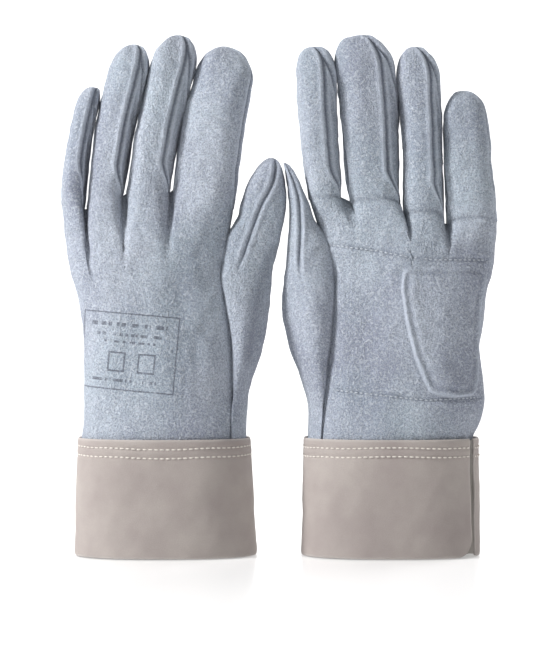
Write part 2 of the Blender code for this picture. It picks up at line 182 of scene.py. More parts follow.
# %% Hands
class Glove:
    """A glove's outline; facing is +1 if its back is towards -Y."""

    def __init__(self, name, centre, facing, little, index, seam, ball, cuff, corner, crotches, digits):
        self.name, self.centre, self.facing, self.digits = name, centre, facing, digits
        self.little, self.index, self.seam, self.ball = (curve(*c) for c in (little, index, seam, ball))
        self.cuff_low, self.cuff_high = (curve(*c) for c in cuff)
        self.corner, self.crotch = corner, curve(*crotches)
        self.pad_edge = curve((80, -21), (90, -16.8), (104, -10.7), (122, -6.3), (141, -3.7), (154, -5.5))
        self.depth = curve((50, 27.6), (62, 27.6), (75, 27.5), (100, 25.5), (125, 23), (150, 20), (175, 16.5),
                           (195, 14.5))
        self.ball_depth = curve((50, 4), (90, 5), (120, 7), (150, 9))
        self.hand_body, self.lean = f"glove_{name}_hand", digits["middle"].lean

    def world(self, u, v, z):
        u, v, z = np.broadcast_arrays(u, v, z)
        return np.stack([MM * (self.centre + self.facing * u), MM * -self.facing * v, MM * z], axis=-1)

    def across(self, u, z):
        low, high = self.little(z), self.index(z)
        return (2 * u - low - high) / (high - low)

    def hand(self, k, z, side, out=0.0):
        low, high = self.little(z), self.index(z)
        oval = np.maximum(1 - np.abs(k) ** ROUND_HAND, 0) ** (1 / ROUND_HAND)
        return (low + high) / 2 + ((high - low) / 2 + out) * k, side * (self.depth(z) + out) * oval, z

    def thumb_base(self, share, z, side):
        cut = self.across(self.seam(z), z)
        k = cut + share * (1 - cut)
        low_u, low_v, _ = self.hand(k, z, side)
        u = self.seam(z) + share * (self.ball(z) - self.seam(z))
        root = self.depth(z) * np.maximum(1 - np.abs(cut) ** ROUND_HAND, 0) ** (1 / ROUND_HAND)
        v = root * (1 - share ** 2.2) + self.ball_depth(z) * np.clip(np.sin(np.pi * share), 0, 1) ** 0.8
        blend = smooth(z, 63, 108)
        return low_u + (u - low_u) * blend, side * (np.abs(low_v) + (v - np.abs(low_v)) * blend), z

    def cuff(self, angle, z, out=0.0):
        low, high = self.cuff_low(z), self.cuff_high(z)
        cu, cv = around(angle, ROUND_HAND)
        thick = 30.0 + 2.2 * (1 - z / CUFF_TOP)
        return (low + high) / 2 + ((high - low) / 2 + out) * cu, (thick + out) * cv, z


first, second = finger_sets()
GLOVES = (
    Glove("a", -61.35, 1,
          ((50, -43.9), (62, -43.9), (67, -43.2), (97, -42.7), (122, -43.5), (139, -46.5), (148, -49.3),
           (176, -53.5), (195, -54)),
          ((50, 43.9), (62, 43.9), (75, 43.4), (100, 41), (125, 37.5), (150, 33.2), (165, 34.6), (184, 36.3)),
          ((50, 35.6), (62, 35.8), (92, 36.4), (114, 35.6), (135, 32.6), (152, 30.2), (188, 32.5)),
          ((50, 43.9), (62, 43.9), (67, 45.6), (86, 48), (105, 51.4), (122, 54.8), (142, 58), (152, 59)),
          (((0, -48.1), (CUFF_TOP, -46.1)), ((0, 49.6), (CUFF_TOP, 46.3))), (4.0, 4.0),
          ((-54, -14), (-39.7, -14.9), (-20.5, -2.5), (3.2, 4.6), (37, 2)), first),
    Glove("b", 59.39, -1,
          ((50, -43.9), (59, -43.9), (62.5, -44.1), (67, -46.4), (113, -48.2), (122, -49.5), (139, -51.6),
           (148, -53.6), (162, -55.7), (176, -56.6), (190, -56)),
          ((50, 44.1), (62, 44.1), (75, 43.2), (100, 40), (125, 35.5), (140, 33.2), (152, 32.6), (165, 35.6),
           (177, 38.6), (188, 41.3)),
          ((50, 36.8), (62, 37.0), (77, 35.9), (104, 33), (121, 31.2), (138, 30.2), (152, 29.8), (188, 37.0)),
          ((50, 44.1), (62, 44.1), (70, 45.8), (87, 48.6), (98, 51), (112, 54.4), (127, 57.6), (141, 59.8),
           (152, 58.9)),
          (((0, -48.2), (CUFF_TOP, -47.3)), ((0, 47.6), (CUFF_TOP, 46.4))), (12.0, 3.0),
          ((-56, -16), (-28.5, -15.9), (-5.6, -3.6), (24, 1.4), (44, 2)), second))
print("gloves:", ", ".join(g.name for g in GLOVES))

# %% [markdown]
# ## Grids into meshes
# Every skin here is a grid of points, so one function turns a grid into a mesh.
# It can close the grid around, close its far end on a point, and store numbers
# for the materials: edge, lighter along raised seam lips and the cuffs' borders
# and a painted highlight on the heel pad's ridge, and seam, painted shade in
# seams, creases and fork strips.

# %% Grid helper
def signed_volume(points, faces):
    quads = np.array([f if len(f) == 4 else (*f, f[2]) for f in faces])
    a, b, c, d = (points[quads[:, i]] for i in range(4))
    return np.einsum("ij,ij->", a, np.cross(b, c) + np.cross(c, d)) / 6


def grid_faces(rows, columns, closed, start=0):
    r, c = np.meshgrid(np.arange(rows - 1), np.arange(columns if closed else columns - 1), indexing="ij")
    nxt = (c + 1) % columns
    return (start + np.stack([r * columns + c, r * columns + nxt, (r + 1) * columns + nxt,
                              (r + 1) * columns + c], -1)).reshape(-1, 4).tolist()


def add_mesh(name, points, faces, attributes=None, outward=None):
    """A mesh object at the origin; outward is a point that faces must look away from."""
    points = np.asarray(points, float)
    mesh = bpy.data.meshes.new(name)
    mesh.from_pydata(points.tolist(), [], faces)
    for key, values in (attributes or {}).items():
        layer = mesh.attributes.new(key, "FLOAT", "POINT")
        layer.data.foreach_set("value", np.asarray(values, np.float32).ravel())
    mesh.update()
    made = bpy.data.objects.new(name, mesh)
    bpy.context.collection.objects.link(made)
    if outward is None:
        flip = signed_volume(points - points.mean(0), faces) < 0
    else:
        flip = outward(mesh)
    if flip:
        mesh.flip_normals()
    mesh.shade_smooth()
    return made


def solidify(made, thickness):
    """Give a skin its real wall, inwards, and make it plain mesh."""
    wall = made.modifiers.new("wall", "SOLIDIFY")
    wall.thickness, wall.offset, wall.use_even_offset = thickness * MM, -1, False
    bpy.context.view_layer.update()
    done = bpy.data.meshes.new_from_object(made.evaluated_get(bpy.context.evaluated_depsgraph_get()))
    made.modifiers.clear()
    made.data = done
    made.data.shade_smooth()


# %% [markdown]
# ## Finishes
# Suede is matt and never even: the nap leans this way and that, so patches
# catch the light, and short fibres give a fine speckle.  The material layers
# noise at three sizes in object coordinates, and a bump for the nap.  Values
# that are the same all over, such as the sheen, are set on the shader itself.

# %% Node helper
class Paint:
    """A small helper that adds nodes to a material and joins them."""

    def __init__(self, name, roughness):
        self.material = bpy.data.materials.new(name)
        self.material.use_nodes = True
        self.nodes, self.links = self.material.node_tree.nodes, self.material.node_tree.links
        self.shader = self.nodes["Principled BSDF"]
        self.shader.inputs["Roughness"].default_value = roughness
        self.place = self.nodes.new("ShaderNodeTexCoord").outputs["Object"]

    def add(self, kind, inputs=None, **settings):
        made = self.nodes.new(kind)
        for key, value in settings.items():
            setattr(made, key, value)
        for key, value in (inputs or {}).items():
            self.feed(made.inputs[key], value)
        return made

    def feed(self, socket, value):
        if isinstance(value, bpy.types.NodeSocket):
            self.links.new(value, socket)
        else:
            socket.default_value = value

    def noise(self, per_metre, detail=3.0, roughness=0.6, stretch=(1, 1, 1)):
        placed = self.add("ShaderNodeMapping", {"Vector": self.place, "Scale": stretch})
        return self.add("ShaderNodeTexNoise", {"Vector": placed.outputs[0], "Scale": per_metre,
                                               "Detail": detail, "Roughness": roughness}).outputs["Fac"]

    def spread(self, value, low, high, to_low=0.0, to_high=1.0):
        return self.add("ShaderNodeMapRange", {"Value": value, "From Min": low, "From Max": high,
                                               "To Min": to_low, "To Max": to_high}).outputs[0]

    def math(self, operation, a, b=0.0):
        made = self.add("ShaderNodeMath", operation=operation)
        self.feed(made.inputs[0], a)
        self.feed(made.inputs[1], b)
        return made.outputs[0]

    def mix(self, share, a, b, blend="MIX"):
        made = self.add("ShaderNodeMix", data_type="RGBA", blend_type=blend)
        self.feed(made.inputs["Factor"], share)
        self.feed(made.inputs["A"], a)
        self.feed(made.inputs["B"], b)
        return made.outputs["Result"]

    def attribute(self, name):
        return self.add("ShaderNodeAttribute", attribute_name=name).outputs["Fac"]

    def bump(self, height, distance, strength=1.0, after=None):
        made = self.add("ShaderNodeBump", {"Height": height, "Distance": distance, "Strength": strength})
        if after is not None:
            self.links.new(after, made.inputs["Normal"])
        return made.outputs["Normal"]

    def finish(self, colour, normal):
        self.links.new(colour, self.shader.inputs["Base Color"])
        self.links.new(normal, self.shader.inputs["Normal"])
        return self.material


# %% Suede
SUEDE_LIGHT = (0.53, 0.58, 0.665, 1)
SUEDE_MIDDLE = (0.345, 0.375, 0.46, 1)
SUEDE_NAP_GAPS_AND_SHADE = (0.11, 0.125, 0.165, 1)
SUEDE_COOL = (0.39, 0.50, 0.55, 1)
SUEDE_TIPS = (0.70, 0.74, 0.80, 1)


def suede(name, stamp=None):
    """Split leather: cool and grey patches, darker between the fibres, pale at their tips,
    with painted shade in seams, creases and fork strips and a painted highlight on the heel pad's ridge.
    """
    light, middle, dark, cool, tips = SUEDE_LIGHT, SUEDE_MIDDLE, SUEDE_NAP_GAPS_AND_SHADE, SUEDE_COOL, SUEDE_TIPS
    paint = Paint(name, 0.95)
    paint.shader.inputs["Specular IOR Level"].default_value = 0.15
    paint.shader.inputs["Sheen Weight"].default_value = 0.12
    paint.shader.inputs["Sheen Roughness"].default_value = 0.6
    patches = paint.spread(paint.noise(24, 3.0, 0.55, (1, 1, 0.6)), 0.40, 0.62)
    tinted = paint.spread(paint.noise(13, 2.0, 0.5), 0.46, 0.62)
    streaks = paint.spread(paint.noise(240, 3.0, 0.6, (1, 1, 0.5)), 0.36, 0.64)
    nap = paint.spread(paint.noise(1350, 2.0, 0.7), 0.36, 0.62)
    tufts = paint.spread(paint.noise(760, 2.0, 0.65), 0.50, 0.64)
    folds = paint.noise(26, 1.0, 0.5, (1, 1, 0.35))
    colour = paint.mix(patches, middle, light)
    colour = paint.mix(paint.math("MULTIPLY", tinted, 0.35), colour, cool)
    colour = paint.mix(paint.math("MULTIPLY", streaks, 0.25), colour, middle)
    colour = paint.mix(paint.math("MULTIPLY", paint.math("SUBTRACT", 1.0, nap), 0.62), colour, dark)
    colour = paint.mix(paint.math("MULTIPLY", tufts, 0.45), colour, tips)
    # Painted shade: darker in seams, creases, fork strips and the heel pad's valley.
    colour = paint.mix(paint.math("MULTIPLY", paint.attribute("seam"), 0.75), colour, dark)
    # Lighter along raised seam lips, and a painted highlight on the heel pad's ridge.
    colour = paint.mix(paint.math("MULTIPLY", paint.attribute("edge"), 0.5), colour, light)
    if stamp:
        colour = paint.mix(paint.math("MULTIPLY", stamp(paint), 0.8), colour, (0.10, 0.11, 0.14, 1))
    rolling = paint.bump(folds, 0.02, 0.8)
    fine = paint.bump(nap, 0.0005, 0.6, rolling)
    return paint.finish(colour, paint.bump(streaks, 0.0008, 0.3, paint.bump(tufts, 0.0005, 0.6, fine)))


leather = suede("split_leather")


# %% [markdown]
# The back of the first glove carries an inked size stamp.  It is drawn here as
# a plain frame with rows of bars in place of any lettering, with a patchy edge,
# as ink sits badly on suede.  It is painted by position, so it stays sharp.

# %% Inked stamp
def stamp_mask(paint):
    """Ink where the frame's lines and the bars are; the frame is 51 by 41 mm, turned a little."""
    split = paint.add("ShaderNodeSeparateXYZ", {0: paint.add("ShaderNodeMapping", {
        "Vector": paint.place, "Location": (0.0791, 0.0, -0.1077)}).outputs[0]})
    x, y, z = split.outputs
    tilt = radians(-5.0)
    across = paint.math("ADD", paint.math("MULTIPLY", x, np.cos(tilt)), paint.math("MULTIPLY", z, np.sin(tilt)))
    up = paint.math("SUBTRACT", paint.math("MULTIPLY", z, np.cos(tilt)), paint.math("MULTIPLY", x, np.sin(tilt)))

    def box(cx, cz, half_x, half_z):
        dx = paint.math("SUBTRACT", paint.math("ABSOLUTE", paint.math("SUBTRACT", across, cx)), half_x)
        dz = paint.math("SUBTRACT", paint.math("ABSOLUTE", paint.math("SUBTRACT", up, cz)), half_z)
        return paint.math("MAXIMUM", dx, dz)

    def within(distance, width):
        return paint.spread(distance, width, width - 0.00025)
    ink = within(paint.math("ABSOLUTE", box(0, 0, 0.0253, 0.0200)), 0.0005)
    rows = ((0.0140, 0.021, 0.0011), (0.0088, 0.018, 0.0009), (0.0050, 0.014, 0.0007), (-0.0152, 0.020, 0.0009))
    for height, half, thick in rows:
        bars = paint.spread(paint.add("ShaderNodeTexNoise", {
            "Vector": paint.add("ShaderNodeCombineXYZ", {0: across, 1: height}).outputs[0],
            "Scale": 620.0, "Detail": 0.0}).outputs["Fac"], 0.44, 0.52)
        ink = paint.math("MAXIMUM", ink, paint.math("MULTIPLY", within(box(0, height, half, thick), 0.0), bars))
    for centre in (-0.006, 0.010):
        ring = paint.math("ABSOLUTE", box(centre, -0.0055, 0.0042, 0.0048))
        ink = paint.math("MAXIMUM", ink, within(ring, 0.0006))
    front = paint.spread(y, -0.004, -0.006)
    worn = paint.spread(paint.noise(900, 2.0), 0.28, 0.50, 0.45, 1.0)
    return paint.math("MULTIPLY", paint.math("MULTIPLY", ink, front), worn)


stamped_leather = suede("stamped_leather", stamp_mask)
print("suede made, plain and stamped")


# %% Canvas, cotton and thread
def canvas(name, base, shade, grain=2600, depth=0.00016):
    paint = Paint(name, 0.72)
    paint.shader.inputs["Specular IOR Level"].default_value = 0.25
    cloud = paint.spread(paint.noise(30, 3.0), 0.35, 0.68)
    fine = paint.spread(paint.noise(grain, 2.0, 0.75), 0.34, 0.66)
    colour = paint.mix(cloud, base, shade)
    colour = paint.mix(paint.math("MULTIPLY", paint.math("SUBTRACT", 1.0, fine), 0.22), colour,
                       tuple(c * 0.55 for c in shade[:3]) + (1,))
    colour = paint.mix(paint.math("MULTIPLY", paint.attribute("edge"), 0.35), colour, (0.62, 0.59, 0.56, 1))
    return paint.finish(colour, paint.bump(fine, depth, 0.5))


def thread_finish(name, shade, tint):
    paint = Paint(name, 0.8)
    twist = paint.add("ShaderNodeTexWave", {"Vector": paint.place, "Scale": 900.0, "Distortion": 1.5},
                      bands_direction="DIAGONAL").outputs["Fac"]
    colour = paint.mix(twist, shade, tint)
    return paint.finish(colour, paint.bump(twist, 0.0001, 0.6))


cuff_canvas = canvas("cuff_canvas", (0.43, 0.385, 0.36, 1), (0.35, 0.305, 0.29, 1))
inner_canvas = canvas("inner_canvas", (0.56, 0.53, 0.49, 1), (0.46, 0.43, 0.40, 1), 1500, 0.0003)
cotton = canvas("cotton_knit", (0.74, 0.72, 0.68, 1), (0.62, 0.60, 0.56, 1), 1200, 0.0004)
thread = thread_finish("stitch_thread", (0.62, 0.57, 0.52, 1), (0.80, 0.76, 0.71, 1))
palm_thread = thread_finish("palm_thread", (0.42, 0.45, 0.50, 1), (0.62, 0.66, 0.72, 1))
print("canvas, cotton and thread made")

# %% [markdown]
# ## Seams
# A glove is sewn inside out and turned, so every seam is a valley between two
# soft lips.  A skin is pressed in along its seams by the distance to the
# nearest one, which follows the leather however the digit is shaped.  Lines
# drawn by a Boolean cutter would be sharper than leather ever is.

# %% Pressing skins
def facing_out(grid, around_closed):
    """Unit normals of a grid, away from each row's middle."""
    up = np.gradient(grid, axis=0)
    if around_closed:
        side = np.roll(grid, -1, 1) - np.roll(grid, 1, 1)
    else:
        side = np.gradient(grid, axis=1)
    n = np.cross(side, up)
    n /= np.maximum(np.linalg.norm(n, axis=-1, keepdims=True), 1e-12)
    from_middle = grid - grid.mean(axis=1, keepdims=True)
    return n if (n * from_middle).sum() > 0 else -n


def press(grid, amount, around_closed=True):
    """Move a grid out along its normals by amounts in millimetres."""
    return grid + facing_out(grid, around_closed) * (MM * amount)[..., None]


def seam_distance(grid, columns):
    """Millimetres along each row to the nearest seam column of a closed grid."""
    step = np.linalg.norm(np.roll(grid, -1, 1) - grid, axis=-1) / MM
    run = np.concatenate([np.zeros((len(grid), 1)), np.cumsum(step, 1)], 1)
    girth, run = run[:, -1:], run[:, :-1]
    best = np.full(run.shape, 1e9)
    for c in columns:
        d = np.abs(run - run[:, c:c + 1])
        best = np.minimum(best, np.minimum(d, girth - d))
    return best


def valley(d, deep=1.1, wide=0.9, lip=0.5):
    """Depth profile of a sewn seam: a valley with two soft lips."""
    return lip * np.exp(-((d - 2.6 * wide) / (1.3 * wide)) ** 2) - deep * np.exp(-(d / wide) ** 2)


def line_distance(x, z, points):
    """Distance in millimetres from a chain of straight pieces."""
    best = np.full(np.broadcast(x, z).shape, 1e9)
    for (x0, z0), (x1, z1) in zip(points, points[1:]):
        dx, dz = x1 - x0, z1 - z0
        t = np.clip(((x - x0) * dx + (z - z0) * dz) / (dx * dx + dz * dz), 0, 1)
        best = np.minimum(best, np.hypot(x - x0 - t * dx, z - z0 - t * dz))
    return best


def soft_leather(grid, seed, broad=0.34, fine=0.12):
    """The unevenness all skins of one glove share, so that they meet smoothly."""
    x, y, z = np.moveaxis(grid, -1, 0) / MM
    front = np.where(y < 0, 0.0, 300.0)
    return broad * ripples(x + front, z, seed, 34) + fine * ripples(x - front, z, seed + 1, 8)


def skin(name, grid, attributes, pole=False):
    """Closed-around skin from a grid; a pole closes its last row on a point."""
    rows, columns = grid.shape[:2]
    faces = grid_faces(rows, columns, True)
    points = grid.reshape(-1, 3)
    values = {key: np.asarray(v, float).ravel() for key, v in attributes.items()}
    if pole:
        points = np.vstack([points, grid[-1].mean(axis=0)])
        last = (rows - 1) * columns
        faces += [[last + c, last + (c + 1) % columns, rows * columns] for c in range(columns)]
        values = {key: np.append(v, v[-1]) for key, v in values.items()}
    return add_mesh(name, points, faces, values)


# %% [markdown]
# ## Fingers
# Each finger is a tube of four strips: a back, a palm and a fork at each side
# that touches a neighbour.  Forks are set a little towards the thumb at the
# back and towards the little finger at the palm, as the hand rests half rolled.
# The tube's columns run along the seams, so a seam is always a clean line.

# %% Fingers
ROLL = 20.0
FORK_HALF = 43.0
STRIPS = (30, 66, 30, 66)
PLUMP = 0.45             # the leather stands this far proud of the plain wall
SLACK = {("b", "index"): (196, 2.0), ("b", "middle"): (-4, 1.9)}    # forks that sag into a wide gap


def seam_angles(digit, t):
    """Angles of the four seams: a fork narrows into the crotch and ends on its outer seam."""
    share = 1 - np.clip(t / 0.93, 0, 1) ** 2.2
    thumb_fork, little_fork = "thumb" in digit.forks, "little" in digit.forks
    wide = (2 * FORK_HALF - 3) * share + 3
    open_up = 0.14 + 0.86 * smooth((t - digit.start) * (digit.tip - digit.root), -4, 16)
    first = (ROLL + FORK_HALF - wide if thumb_fork else ROLL - 3) * open_up
    second = (ROLL + FORK_HALF if thumb_fork else ROLL + 1) * open_up
    fourth = 180 + (ROLL + FORK_HALF if little_fork else ROLL + 1) * open_up
    third = 180 + (ROLL + FORK_HALF - wide if little_fork else ROLL - 3) * open_up
    return first, second, third, fourth


def skin_start(glove, digit, cu):
    """Share along the digit where its own skin starts; lower at the crotches."""
    mid = sum(digit.base) / 2
    half = (digit.base[1] - digit.base[0]) / 2
    top = digit.root + digit.start * (digit.tip - digit.root)
    edge = glove.crotch(mid + np.sign(cu) * half)
    drop = np.minimum(edge - top, 0) * np.abs(cu) ** 5
    return (top + drop - digit.root) / (digit.tip - digit.root)


def finger_skin(glove, name, digit, rows=190):
    x = np.linspace(0, 1, rows)[:, None]
    along = 0.25 * x + 0.75 * np.sin(x * np.pi / 2)
    guess = digit.start + (1 - digit.start) * along
    seams = seam_angles(digit, guess)
    angles, columns, count = [], [], 0
    for i, n in enumerate(STRIPS):
        f = np.arange(n) / n
        f = f - 0.75 * np.sin(2 * np.pi * f) / (2 * np.pi)
        end = seams[(i + 1) % 4] + (360 if i == 3 else 0)
        angles.append(seams[i] + (end - seams[i]) * f)
        columns.append(count)
        count += n
    angle = np.concatenate(angles, axis=1)
    cu, cv = around(angle, ROUND_DIGIT)
    start = skin_start(glove, digit, cu)
    t = start + (1 - start) * along
    t = t - 0.012 * (1 - along) ** 30
    t = np.minimum(t, 0.99999)
    grid = glove.world(*digit.point(t, angle))
    away = seam_distance(grid, columns)
    calm = smooth(1 - x, 0.0, 0.06) * np.ones_like(away)
    strip = np.repeat(np.arange(4), STRIPS)[None, :]
    in_fork = ((strip == 0) & ("thumb" in digit.forks)) | ((strip == 2) & ("little" in digit.forks))
    length = (t - start) * (digit.tip - digit.root)
    palm = smooth(-cv, 0.25, 0.75)
    base_seam = 0.5 * np.exp(-(length / 1.5) ** 2) * palm
    wrinkle = 0.35 * np.exp(-((length - 26 + 3 * cu) / 2.2) ** 2) + 0.3 * np.exp(-((length - 47) / 2.6) ** 2)
    amount = valley(away) * calm - 0.55 * in_fork * smooth(away, 0.6, 3.0) - base_seam
    amount = amount + soft_leather(grid, 11 if glove.name == "a" else 23) * smooth(1 - x, 0.02, 0.12)
    amount = amount - wrinkle * palm * calm
    sag_at, sag = SLACK.get((glove.name, name), (0, 0))
    off = (angle - sag_at + 180) % 360 - 180
    amount = amount + (PLUMP + sag * np.exp(-(off / 38) ** 2)) * smooth(length, 0, 14) * smooth(1 - x, 0, 0.15)
    under = 0.35 * (x < 0.004)
    grid = press(grid, amount - under)
    # Painted shade: darker in each seam's valley, along the palm's seam at the finger's root, and over the fork
    # strips.
    dark = np.exp(-(away / 0.8) ** 2) * 0.9 + 0.45 * np.exp(-(length / 1.0) ** 2) * palm + 0.25 * in_fork
    # Lighter along the raised lips beside each seam.
    lip = np.exp(-((away - 2.2) / 1.2) ** 2) * calm
    made = skin(f"{glove.name}_{name}_skin", grid, {"seam": np.clip(dark, 0, 1), "edge": lip}, pole=True)
    made.data.materials.append(leather)
    return made


# %% [markdown]
# ## The hand
# Back, palm and side are one skin from the wrist to the fingers' roots.  Its
# columns start out as a plain oval and turn, over the last 45 mm, into the
# fingers' own sections, so valleys run down from each crotch as they do where
# leather is pulled between fingers.  Lofting between sections is a rule, so
# numpy does it in one step and the joint with each finger is exact.

# %% Hand
HAND_BOTTOM = 50.0
MOUND = {1: 45.0, -1: 19.0}    # how far valleys run down from the crotches, back and palm
PALM_LINES = {"b": (((34.2, 164.5), (7.3, 160.8), (-8.8, 157.6), (-22.0, 156.2), (-48.5, 156.2)),
                    ((29.0, 87.6), (-17.7, 82.6), (-45.6, 83.6)))}
PALM_LINES["a"] = tuple(tuple((u * 0.87 if u < 0 else u, z) for u, z in line) for line in PALM_LINES["b"])


def hand_grid(glove, rows=150, per=30):
    phi = np.linspace(180, 0, per + 1)
    u_top, z_top, v_top = [], [], []
    for name in FINGERS:
        digit = glove.digits[name]
        cu, cv = around(phi, ROUND_DIGIT)
        t = skin_start(glove, digit, cu)
        u, v, z = digit.point(t, phi)
        u_top.append(u)
        v_top.append(v)
        z_top.append(z)
    u_top, v_top, z_top = (np.concatenate(part) for part in (u_top, v_top, z_top))
    k_top = glove.across(u_top, z_top)
    k = np.maximum.accumulate(k_top) + 0.0004 * np.arange(len(k_top))
    k = -1 + 2 * (k - k[0]) / (k[-1] - k[0])
    x = np.linspace(0, 1, rows)[:, None]
    share = x + 0.12 * np.sin(2 * np.pi * x) / (2 * np.pi)
    z = HAND_BOTTOM + (z_top - HAND_BOTTOM) * share
    sides = []
    for side in (1, -1):
        w = np.clip(1 - (z_top - z) / MOUND[side], 0, 1) ** 2.1
        u_hand, v_hand, _ = glove.hand(np.clip(k, -1, 1) + 0 * z, z, side)
        u_end, _, _ = glove.hand(np.clip(k, -1, 1), z_top, side)
        u = u_hand + (u_top - u_end) * w
        v = v_hand + (side * np.abs(v_top) - v_hand) * w
        sides.append(np.stack([u, v, z + 0 * u], -1))
    ring = np.concatenate([sides[0], sides[1][:, ::-1]], axis=1)
    below = np.concatenate([z_top - z, (z_top - z)[:, ::-1]], axis=1)
    is_palm = np.concatenate([np.zeros_like(z), np.ones_like(z)], axis=1)
    return ring, below, is_palm


def hand_skin(glove):
    ring, below, is_palm = hand_grid(glove)
    u, v, z = np.moveaxis(ring, -1, 0)
    grid = glove.world(u, v, z)
    base_seam = 0.5 * np.exp(-(below / 1.5) ** 2) * is_palm * (np.abs(v) > 3)
    amount = soft_leather(grid, 11 if glove.name == "a" else 23) * smooth(z, 62, 80) - base_seam
    # Painted shade: darker along the palm's seam at the fingers' roots and in the valleys of its stitch lines.
    dark = np.exp(-(below / 1.0) ** 2) * is_palm * 0.45
    for line in PALM_LINES[glove.name]:
        d = line_distance(u, z, line)
        amount = amount + is_palm * valley(d, 0.75, 1.1, 0.35)
        dark = dark + is_palm * 0.5 * np.exp(-(d / 0.8) ** 2)
    creases = (((26, 176), (20, 158), (24, 140)), ((-30, 168), (-22, 150), (-24, 132)),
               ((2, 176), (3, 160)), ((28, 132), (18, 112), (20, 92)))
    for line in creases:
        d = line_distance(u, z, line)
        amount = amount - (1 - is_palm) * 0.55 * np.exp(-(d / 3.6) ** 2)
    cut = glove.seam(z)
    amount = amount - 0.5 * np.exp(-((u - cut) / 1.4) ** 2) * (z < 168)
    grid = press(grid, amount * smooth(z, 58, 66))
    made = skin(f"{glove.name}_hand_skin", grid, {"seam": np.clip(dark, 0, 1), "edge": 0 * dark})
    made.data.materials.append(stamped_leather if glove.name == "a" else leather)
    return made


# %% [markdown]
# ## Thumbs
# The thumb and the ball of the hand are cut in one and set into the side.  The
# lower rows follow the ball's shape against the hand, the upper rows are the
# thumb's oval, and the rows between pass smoothly from one to the other.

# %% Thumb
THUMB_SEAM = {"a": ((-60, 118), (-18, 106), (1, 97), (11, 89), (21, 76), (33, 64)),
              "b": ((-60, 262), (-28, 282), (-20, 283), (-8, 277), (5, 270), (14, 264), (33, 262))}
THUMB_CREASES = {"a": ((58.6, 162.9), (52.2, 141.5), (49.5, 131.4), (45.7, 105.2)),
                 "b": ((47.0, 150.0), (44.0, 132.0), (41.0, 112.0))}


def thumb_skin(glove, rows=230, count=176):
    digit = glove.digits["thumb"]
    lean = np.radians(digit.lean)
    seam = curve(*THUMB_SEAM[glove.name])
    x = np.linspace(0, 1, rows)[:, None]
    along = 0.45 * x + 0.55 * np.sin(x * np.pi / 2)
    f = np.arange(count)[None, :] / count
    f = f - 0.75 * np.sin(2 * np.pi * f) / (2 * np.pi)
    q_low = (HAND_BOTTOM + 2 - PIVOT + 52 * np.sin(lean)) / np.cos(lean)
    q = q_low + (digit.tip - q_low) * along
    angle = seam(q) + 360 * f
    cu, cv = around(angle, ROUND_DIGIT)
    t = np.minimum((q - digit.root) / (digit.tip - digit.root), 0.99999)
    web = 4.5 * (1 - smooth(q, -16, 1)) * smooth(-cu, 0.2, 1)
    u_digit, v_digit, z_digit = digit.point(t + 0 * angle, angle)
    u_digit = u_digit - web * np.cos(lean)
    z_digit = z_digit + web * np.sin(lean)
    share = (1 + cu) / 2
    mid, half = sum(digit.base) / 2, (digit.base[1] - digit.base[0]) / 2
    z_base = np.maximum(PIVOT - (mid + half * cu) * np.sin(lean) + q * np.cos(lean), HAND_BOTTOM)
    side = np.where(cv >= 0, 1, -1)
    u_base, v_base, _ = glove.thumb_base(share, z_base, side)
    inner = np.exp(-((share - 0.0) / 0.05) ** 2)
    v_base = v_base + side * (1.3 * smooth(share, 0.0, 0.05) - 0.9 * inner)
    v_base = v_base * smooth(np.abs(cv), 0.0, 0.16)
    w = smooth(q, -50, -20)
    u = u_base + (u_digit - u_base) * w
    v = v_base + (v_digit - v_base) * w
    z = z_base + (z_digit - z_base) * w
    grid = glove.world(u, v, z)
    away = seam_distance(grid, [0])
    on_seam = smooth(q, -34, -20) + 0 * away
    calm = smooth(1 - x, 0.0, 0.05)
    crease = np.exp(-(line_distance(u, z, THUMB_CREASES[glove.name]) / 2.6) ** 2) * (side > 0)
    amount = (valley(away, 1.1, 0.9, 0.5) * on_seam * calm - 1.0 * crease
              + soft_leather(grid, 11 if glove.name == "a" else 23) * smooth(z, 62, 80) * smooth(1 - x, 0.01, 0.1))
    knuckle = 0.45 * np.exp(-((q + 2) / 2.4) ** 2) * smooth(-cv * side, -2, 1) * 0.6
    grid = press(grid, (amount - knuckle) * smooth(z, 58, 66))
    # Painted shade in the seam's valley and in the creases of the thumb's ball.
    dark = 0.9 * np.exp(-(away / 0.8) ** 2) * on_seam + 0.5 * crease
    # Lighter along the raised lips beside the seam.
    lip = np.exp(-((away - 2.2) / 1.2) ** 2) * on_seam * calm
    made = skin(f"{glove.name}_thumb_skin", grid, {"seam": np.clip(dark, 0, 1), "edge": lip}, pole=True)
    made.data.materials.append(leather)
    return made


# %% Skins in place: the hand on its body, the digits left in world place
def place_skins(glove):
    hand = hand_skin(glove)
    name = glove.name
    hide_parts(*(f"{name}_{part}" for part in ("back_panel", "palm_panel", "index_side")))
    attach(hand, glove.hand_body)
    total = len(hand.data.polygons)
    for key, digit in glove.digits.items():
        made = thumb_skin(glove) if key == "thumb" else finger_skin(glove, key, digit)
        pieces = [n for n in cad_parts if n.startswith(f"{name}_{key}_") and n != f"{name}_index_side"]
        if key == "thumb":
            q_from, q_to = -52.0, -14.0
        else:
            q_from = digit.root + digit.start * (digit.tip - digit.root) - 2
            q_to = q_from + 27
        mid = sum(digit.base) / 2
        start, end = (glove.world(u, 0.0, z) for u, z in (turn(mid, q, digit.lean) for q in (q_from, q_to)))
        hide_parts(*pieces)
        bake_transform(made)
        total += len(made.data.polygons)
    print(f"glove {name}: six skins, {total} faces")


for glove in GLOVES:
    place_skins(glove)

# %% [markdown]
# ## Heel pads
# A pad of felt sits under the leather of the heel, with a stitched ridge round
# it.  It is made as a crowned, closed form: rings spread from the middle to the
# outline, high over most of the area, with the ridge and its valley near the
# edge.  Its rim dips under the palm's skin, so no gap shows.

